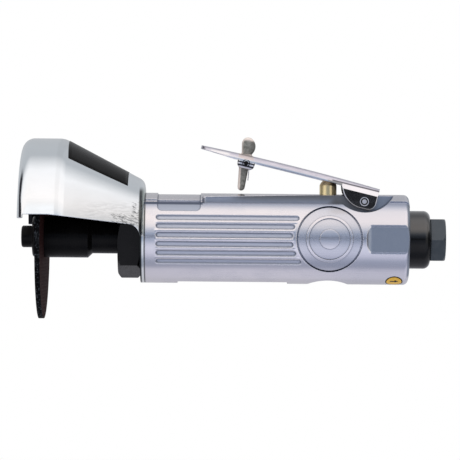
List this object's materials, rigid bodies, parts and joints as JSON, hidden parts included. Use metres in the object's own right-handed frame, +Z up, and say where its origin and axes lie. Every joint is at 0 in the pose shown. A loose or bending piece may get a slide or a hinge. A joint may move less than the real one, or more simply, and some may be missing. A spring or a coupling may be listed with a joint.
{
  "type": "air cut-off tool",
  "caption": "Hand-held air cut-off tool: polished round housing with a sprung throttle lever and its safety catch, a half-round sheet guard over a thin cut-off wheel, and a threaded air inlet.",
  "frame": {"origin": "centre of the air inlet's mouth, on the spindle axis", "axes": "+X along the spindle towards the air inlet, so that the wheel is at the -X end; +Z up, on the side of the throttle lever; Y across the tool"},
  "size_m": [0.194, 0.0884, 0.0838],
  "materials": {
    "polished_body": "polished die-cast aluminium with a satin sheen",
    "chrome_guard": "bright plated pressed steel",
    "black_steel": "black oxide steel",
    "wheel_resin": "resin-bonded abrasive with glass fibre mesh",
    "inlet_steel": "dark phosphated steel",
    "collar_black": "black moulded plastic, satin",
    "lever_chrome": "bright plated folded sheet steel",
    "catch_cast": "tumbled sintered steel",
    "spring_steel": "bright plated wire",
    "pin_steel": "ground steel",
    "stem_brass": "turned brass",
    "motor_steel": "ground steel",
    "bearing_steel": "polished bearing steel",
    "vane_laminate": "brown laminated resin",
    "seal_rubber": "black nitrile",
    "muffler_felt": "grey felt"
  },
  "bodies": {
    "housing": {"motor_housing": "polished_body", "clamp_nut": "black_steel", "cylinder_liner": "motor_steel", "front_end_plate": "motor_steel", "rear_end_plate": "motor_steel", "cylinder_dowel": "pin_steel", "front_bearing_outer": "bearing_steel", "rear_bearing_outer": "bearing_steel", "lever_pin": "pin_steel", "valve_spring": "spring_steel", "valve_plug": "stem_brass", "plug_o_ring": "seal_rubber", "inlet_bushing": "inlet_steel", "inlet_screen": "stem_brass"},
    "guard": {"wheel_guard": "chrome_guard"},
    "spindle": {"arbor": "black_steel", "cutting_wheel": "wheel_resin", "outer_flange": "black_steel", "wheel_bolt": "black_steel", "rotor": "motor_steel", "rotor_vanes": "vane_laminate", "front_bearing_inner": "bearing_steel", "front_bearing_balls": "bearing_steel", "rear_bearing_inner": "bearing_steel", "rear_bearing_balls": "bearing_steel"},
    "lever": {"throttle_lever": "lever_chrome", "catch_pin": "pin_steel"},
    "catch": {"safety_catch": "catch_cast", "catch_spring": "spring_steel"},
    "valve": {"valve_stem": "stem_brass", "stem_o_ring": "seal_rubber", "valve_seal": "seal_rubber"},
    "deflector": {"exhaust_deflector": "collar_black", "muffler_felt": "muffler_felt"}
  },
  "joints": [
    {"name": "spindle_spin", "type": "hinge", "parent": "housing", "child": "spindle", "pos_m": [-0.1, 0, 0], "axis": [1, 0, 0], "continuous": true},
    {"name": "throttle_squeeze", "type": "hinge", "parent": "housing", "child": "lever", "pos_m": [-0.0374, 0, 0.0172], "axis": [0, -1, 0], "range_deg": [0, 4.2], "stiffness_Nm_per_rad": 1, "springref_deg": -17.19},
    {"name": "catch_swing", "type": "hinge", "parent": "lever", "child": "catch", "pos_m": [-0.09141, 0, 0.03428], "axis": [0, -1, 0], "range_deg": [0, 80], "stiffness_Nm_per_rad": 0.005, "springref_deg": -17.19},
    {"name": "valve_press", "type": "slide", "parent": "housing", "child": "valve", "axis": [0, 0, -1], "range_m": [0, 0.0013], "deforming": ["valve_spring"]},
    {"name": "guard_turn", "type": "hinge", "parent": "housing", "child": "guard", "pos_m": [-0.1374, 0, 0], "axis": [1, 0, 0], "continuous": true},
    {"name": "deflector_turn", "type": "hinge", "parent": "housing", "child": "deflector", "pos_m": [-0.0122, 0, 0], "axis": [1, 0, 0], "continuous": true}
  ],
  "couplings": [
    {"joint": "catch_swing", "follows": "throttle_squeeze", "ratio": 19.04},
    {"joint": "valve_press", "follows": "throttle_squeeze", "m_per_rad": 0.0174}
  ]
}
